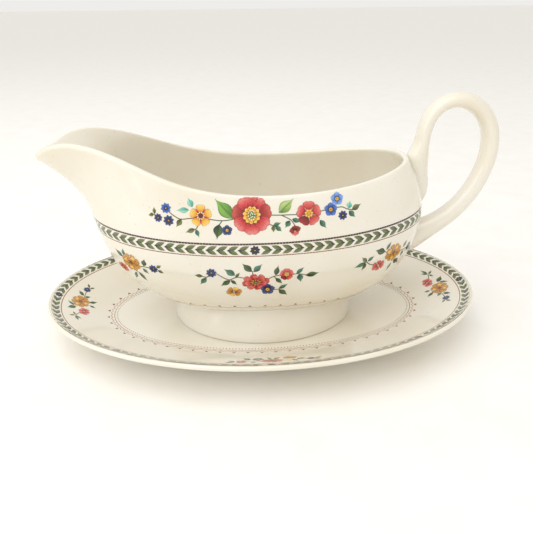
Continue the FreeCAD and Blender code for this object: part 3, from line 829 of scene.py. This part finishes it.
bowl_normal = surface_finder(nodes["boat_bowl"])
front_middle = math.atan2(-42, PRINT_MIDDLE)
sheet = Print(nodes["boat_bowl"])
line_round(sheet, boat_band(BOAT_BAND_TOP), "ink", DARK_LINE["boat"], bowl_normal)
line_round(sheet, boat_band(BOAT_BAND_FOOT), "rust", THIN_LINE, bowl_normal)
track = boat_band((BOAT_BAND_TOP + BOAT_BAND_FOOT) / 2 - LEAVES_DROP)
handle_end = next(l for l, p in zip(track.lengths, track.places) if p.y > 0)
back_middle = next(l for l, p in zip(track.lengths, track.places) if p.y > 0 and p.x < PRINT_MIDDLE * MM)
spout_end = next(l for l, p in zip(track.lengths, track.places) if l > back_middle and p.y < 0)
FLOWER_GAP = 3.4 * MM
for start, end, forward in ((FLOWER_GAP, handle_end, True), (handle_end, back_middle - FLOWER_GAP, False),
                            (back_middle + FLOWER_GAP, spout_end, True),
                            (spout_end, track.whole - FLOWER_GAP, False)):
    pairs = round((end - start) / (BOAT_PITCH * MM))
    laurel_run(sheet, track, start, end, pairs, bowl_normal, BOAT_LEAF_REACH, BOAT_HALF_BAND, forward)
for length in (0.0, back_middle):
    place, direction = track.at(length)
    band_flower(sheet, level_frame(place, bowl_normal(place)), BOAT_FLOWER)
sheet.wrap("boat_laurel_band", "boat")

STAND_LINE_OUTER = (107.7, 69.9)     # half axes of the ovals on the stand, in millimetres
STAND_LINE_INNER = (103.0, 65.1)
STAND_LEAVES = (105.4, 67.55)
STAND_RUNS = 8                       # stretches of leaves, with a flower between each two
STAND_PAIRS = 14
STAND_LEAF_REACH = 4.2
STAND_HALF_BAND = 1.95
STAND_FLOWER = 2.2
STAND_FLOWER_GAP = FLOWER_GAP * 0.8


def stand_round(axes, middle=(0.0, 0.0)):
    """An oval on the stand's top, dropped on to the glaze."""
    def point(angle):
        x, y = middle[0] + axes[0] * math.cos(angle), middle[1] + axes[1] * math.sin(angle)
        start = Vector((x, y, ABOVE)) * MM
        hit, place, normal, face = nodes["stand"].ray_cast(start, Vector((0, 0, -1)))
        return place
    return point


stand_normal = surface_finder(nodes["stand"])
sheet = Print(nodes["stand"])
line_round(sheet, Round(stand_round(STAND_LINE_OUTER), 0), "ink", DARK_LINE["stand"], stand_normal)
line_round(sheet, Round(stand_round(STAND_LINE_INNER), 0), "rust", THIN_LINE, stand_normal)
track = Round(stand_round(STAND_LEAVES), 0)
stretch = track.whole / STAND_RUNS
for i in range(STAND_RUNS):
    laurel_run(sheet, track, i * stretch + STAND_FLOWER_GAP, (i + 1) * stretch - STAND_FLOWER_GAP,
               STAND_PAIRS, stand_normal, STAND_LEAF_REACH, STAND_HALF_BAND, forward=i % 4 < 2)
    place, direction = track.at(i * stretch)
    band_flower(sheet, flat_frame(place, stand_normal(place), direction), STAND_FLOWER)
sheet.wrap("stand_laurel_band", "stand")

# ---------------------------------------------------------------------------------------------
# Stand sprays: at each end of the stand's border a spray with a double ochre flower, and one with a
# wide red flower at the middle of each long side, all facing outwards.
# ---------------------------------------------------------------------------------------------

END_FLOWERS = (
    ("marigold", -95.3, 0.3, 5.0),
    ("pink", -91.7, -8.2, 3.0),
    ("cornflower", -94.6, 11.9, 2.2),
)
END_LEAVES = (
    ("dark", -96.2, -5.4, -99.4, -9.4, 2.9),
    ("teal", -97.2, -5.0, -101.0, -2.0, 1.6),
    ("dark", -95.2, 6.0, -98.2, 9.6, 2.0),
    ("teal", -94.3, 5.3, -91.7, 7.0, 1.8),
    ("olive", -93.9, 14.0, -95.2, 17.2, 1.3),
    ("olive", -93.4, 13.5, -91.2, 15.4, 1.3),
    ("dark", -91.5, 1.7, -87.7, 4.3, 2.0),
    ("teal", -90.8, -0.7, -87.5, -1.7, 1.6),
    ("olive", -94.4, -14.0, -96.0, -11.2, 1.2),
    ("olive", -94.3, -14.6, -96.6, -16.6, 1.4),
    ("teal", -93.8, -15.0, -91.2, -20.0, 1.5),
    ("olive", -94.0, -14.7, -90.2, -17.2, 1.2),
)
END_STALKS = (
    ("stalk", ((-94.6, 9.8), (-94.6, 6.0), (-94.0, 4.2))),
    ("stalk", ((-94.3, 13.2), (-94.1, 14.2))),
    ("stalk", ((-92.8, -9.6), (-93.6, -12.4), (-94.1, -14.8))),
)
MIDDLE_FLOWERS = (
    ("peony", 0.7, -59.9, 3.6),
    ("deep_forget_me_not", -5.2, -56.6, 2.7),
    ("pansy", 8.8, -55.6, 2.8),
    ("rose", -12.6, -60.4, 2.4),
    ("cornflower", 17.6, -60.0, 2.0),
)
MIDDLE_LEAVES = (
    ("dark", -8.2, -56.2, -12.2, -54.0, 2.2),
    ("teal", -8.4, -57.0, -12.6, -57.2, 1.6),
    ("dark", 11.4, -59.6, 15.4, -57.2, 2.0),
    ("teal", 9.6, -59.4, 11.8, -62.6, 2.0),
    ("dark", 1.6, -56.9, 4.8, -54.2, 2.0),
    ("teal", 0.2, -56.9, -1.0, -53.2, 1.8),
    ("olive", -6.4, -60.6, -8.6, -63.0, 1.5),
    ("teal", -15.2, -60.0, -18.6, -58.2, 1.6),
    ("dark", -15.4, -60.8, -20.0, -61.4, 1.9),
    ("olive", 19.6, -59.6, 23.0, -58.6, 1.4),
    ("teal", 19.0, -60.6, 21.4, -62.0, 1.5),
)
MIDDLE_STALKS = (
    ("stalk", ((-3.4, -60.2), (-7.0, -60.9), (-10.6, -60.6))),
    ("stalk", ((-14.6, -60.4), (-16.6, -60.2))),
    ("stalk", ((5.0, -60.0), (9.4, -60.6), (13.0, -59.4), (16.2, -60.2))),
    ("stalk", ((18.9, -59.9), (20.2, -59.8))),
)


def print_on_stand(name, side, heading, flowers, leaves, stalks):
    sheet = Print(nodes["stand"])
    find = stand_top(side)
    print_stalks(sheet, find, stalks)
    print_leaves(sheet, find, leaves)
    for kind, x, y, radius in flowers:
        place, normal = find(x, y)
        FLOWERS[kind](sheet, flat_frame(place, normal, Vector(heading) * side), radius)
    return sheet.wrap(name, "stand")


for word, side in (("spout_end", 1), ("handle_end", -1)):
    print_on_stand("stand_print_" + word, side, (0, 1, 0), END_FLOWERS, END_LEAVES, END_STALKS)
for word, side in (("front", 1), ("back", -1)):
    print_on_stand("stand_print_" + word, side, (-1, 0, 0), MIDDLE_FLOWERS, MIDDLE_LEAVES, MIDDLE_STALKS)

# ---------------------------------------------------------------------------------------------
# Lace borders: a fine scalloped line with a dart at every other scallop, round the stand's well and
# round the underside of the bowl just above its foot. The stand's has a row of beads inside it too.
# ---------------------------------------------------------------------------------------------

SHAPES["dart"] = blade((0.5, 0.40, 0.20, 0.16, 0.02), across=2)
DART_LEAD = 0.25            # shares of a dart's length: how far out it starts, and its width
DART_WIDTH = 1.25
ARCH_STEPS = 6              # strips to an arch, each reaching a little past its ends
ARCH_LAP = 0.08
ARCH_SHIFT = 0.9            # the arches lie inside the track by this share of their depth


def scallops(sheet, track, count, depth, out_sign, surface_normal, colour, width, dart_size):
    """A row of small arches between darts; the darts point to the track's outer side."""
    pitch = track.whole / count
    for i in range(count):
        place, direction = track.at(i * pitch)
        normal = surface_normal(place)
        out = direction.cross(normal) * out_sign
        sheet.lay("dart", "rust", place + out * dart_size * DART_LEAD * MM, out, normal,
                  dart_size * MM, dart_size * DART_WIDTH * MM, 1)
        for half in range(2):
            start = (i + half / 2) * pitch
            spots = []
            for k in range(ARCH_STEPS + 1):
                here, along = track.at(start + pitch / 2 * k / ARCH_STEPS)
                up = surface_normal(here)
                lift = depth * (math.sin(math.pi * k / ARCH_STEPS) - 0.5 - ARCH_SHIFT)
                spots.append((here + along.cross(up) * out_sign * lift * MM, up))
            for (here, up), (there, next_up) in zip(spots, spots[1:]):
                reach = there - here
                sheet.lay("strip", colour, here - reach * ARCH_LAP, reach, up,
                          reach.length * (1 + 2 * ARCH_LAP), width * MM, 0)


WELL_LACE = (80.5, 43.1)
WELL_LACE_MIDDLE = (0.3, -0.3)
WELL_BEADS = (77.0, 39.7)
WELL_LINE = (78.4, 41.1)
WELL_DARTS = 62
WELL_BEAD_COUNT = 4 * WELL_DARTS
WELL_BEAD = 0.30            # radius

sheet = Print(nodes["stand"])
track = Round(stand_round(WELL_LACE, WELL_LACE_MIDDLE), 0)
scallops(sheet, track, WELL_DARTS, 0.9, 1, stand_normal, "tan", 0.34, 1.5)
line_round(sheet, Round(stand_round(WELL_LINE, WELL_LACE_MIDDLE), 0), "tan", 0.4, stand_normal, 1.5)
bead_track = Round(stand_round(WELL_BEADS, WELL_LACE_MIDDLE), 0)
for i in range(WELL_BEAD_COUNT):
    place, direction = bead_track.at(bead_track.whole * i / WELL_BEAD_COUNT)
    sheet.lay("bead", "rust", place, direction, stand_normal(place), WELL_BEAD * MM, WELL_BEAD * MM, 1)
sheet.wrap("stand_well_lace", "stand")

FOOT_LACE_HEIGHT = 26.4
FOOT_LACE_DROP = 1.5        # the border runs this much lower at the ends, where the bowl flattens
FOOT_LACE_REACH = 60
FOOT_LACE_PITCH = 7.0

sheet = Print(nodes["boat_bowl"])
track = Round(bowl_round(FOOT_LACE_HEIGHT, -FOOT_LACE_DROP, 0, FOOT_LACE_REACH), 0)
scallops(sheet, track, round(track.whole / MM / FOOT_LACE_PITCH), 0.8, -1, bowl_normal, "tan", 0.32, 1.4)
sheet.wrap("boat_foot_lace", "boat")

# ---------------------------------------------------------------------------------------------
# Table, light and camera: a plain pale table top under soft studio light.
# ---------------------------------------------------------------------------------------------

start_clean()
bpy.ops.mesh.primitive_plane_add(size=120)
table = bpy.context.object
table.name = "table_top"
cloth, tree, shader = new_material("table_white")
grain = span(tree, noise(tree, 40), 0.3, 0.7, 0.0, 1.0)
tree.links.new(mix(tree, grain, tint(250, 248, 244), tint(247, 244, 238)), shader.inputs["Base Color"])
shader.inputs["Roughness"].default_value = 0.6
table.data.materials.append(cloth)


def softbox(name, place, aim, width, height, watts, colour):
    lamp = bpy.data.lights.new(name, "AREA")
    lamp.shape = "RECTANGLE"
    lamp.size = width
    lamp.size_y = height
    lamp.energy = watts
    lamp.color = colour
    holder = bpy.data.objects.new(name, lamp)
    bpy.context.scene.collection.objects.link(holder)
    holder.location = place
    holder.rotation_euler = (Vector(aim) - Vector(place)).to_track_quat("-Z", "Y").to_euler()


softbox("overhead_softbox", (-0.35, -0.25, 1.0), (0, 0, 0.04), 1.2, 1.0, 5.0, (0.96, 0.98, 1.0))
softbox("left_window", (-1.25, -0.7, 0.6), (0, 0, 0.05), 0.9, 1.0, 3.0, (0.95, 0.97, 1.0))

world = bpy.data.worlds.new("studio")
world.use_nodes = True
world.node_tree.nodes["Background"].inputs["Color"].default_value = (1.0, 0.985, 0.96, 1)
world.node_tree.nodes["Background"].inputs["Strength"].default_value = 0.86
bpy.context.scene.world = world
bpy.context.scene.view_settings.view_transform = "Standard"

CAMERA_DISTANCE = 0.27575
CAMERA_TARGET = Vector((0.0021, 0, 0.0301))
CAMERA_ELEVATION = math.radians(26.19)
CAMERA_TURN = math.radians(-3.18)
CAMERA_ROLL = math.radians(-0.69)

back = Vector((math.sin(CAMERA_TURN) * math.cos(CAMERA_ELEVATION),
               -math.cos(CAMERA_TURN) * math.cos(CAMERA_ELEVATION),
               math.sin(CAMERA_ELEVATION)))
lens = bpy.data.cameras.new("camera")
lens.lens = 36
lens.sensor_width = 36
lens.clip_start = 0.01
lens.clip_end = 20
camera = bpy.data.objects.new("camera", lens)
bpy.context.scene.collection.objects.link(camera)
turn = (-back).to_track_quat("-Z", "Y").to_matrix().to_4x4()
camera.matrix_world = (Matrix.Translation(CAMERA_TARGET + back * CAMERA_DISTANCE)
                       @ turn @ Matrix.Rotation(CAMERA_ROLL, 4, "Z"))
bpy.context.scene.camera = camera
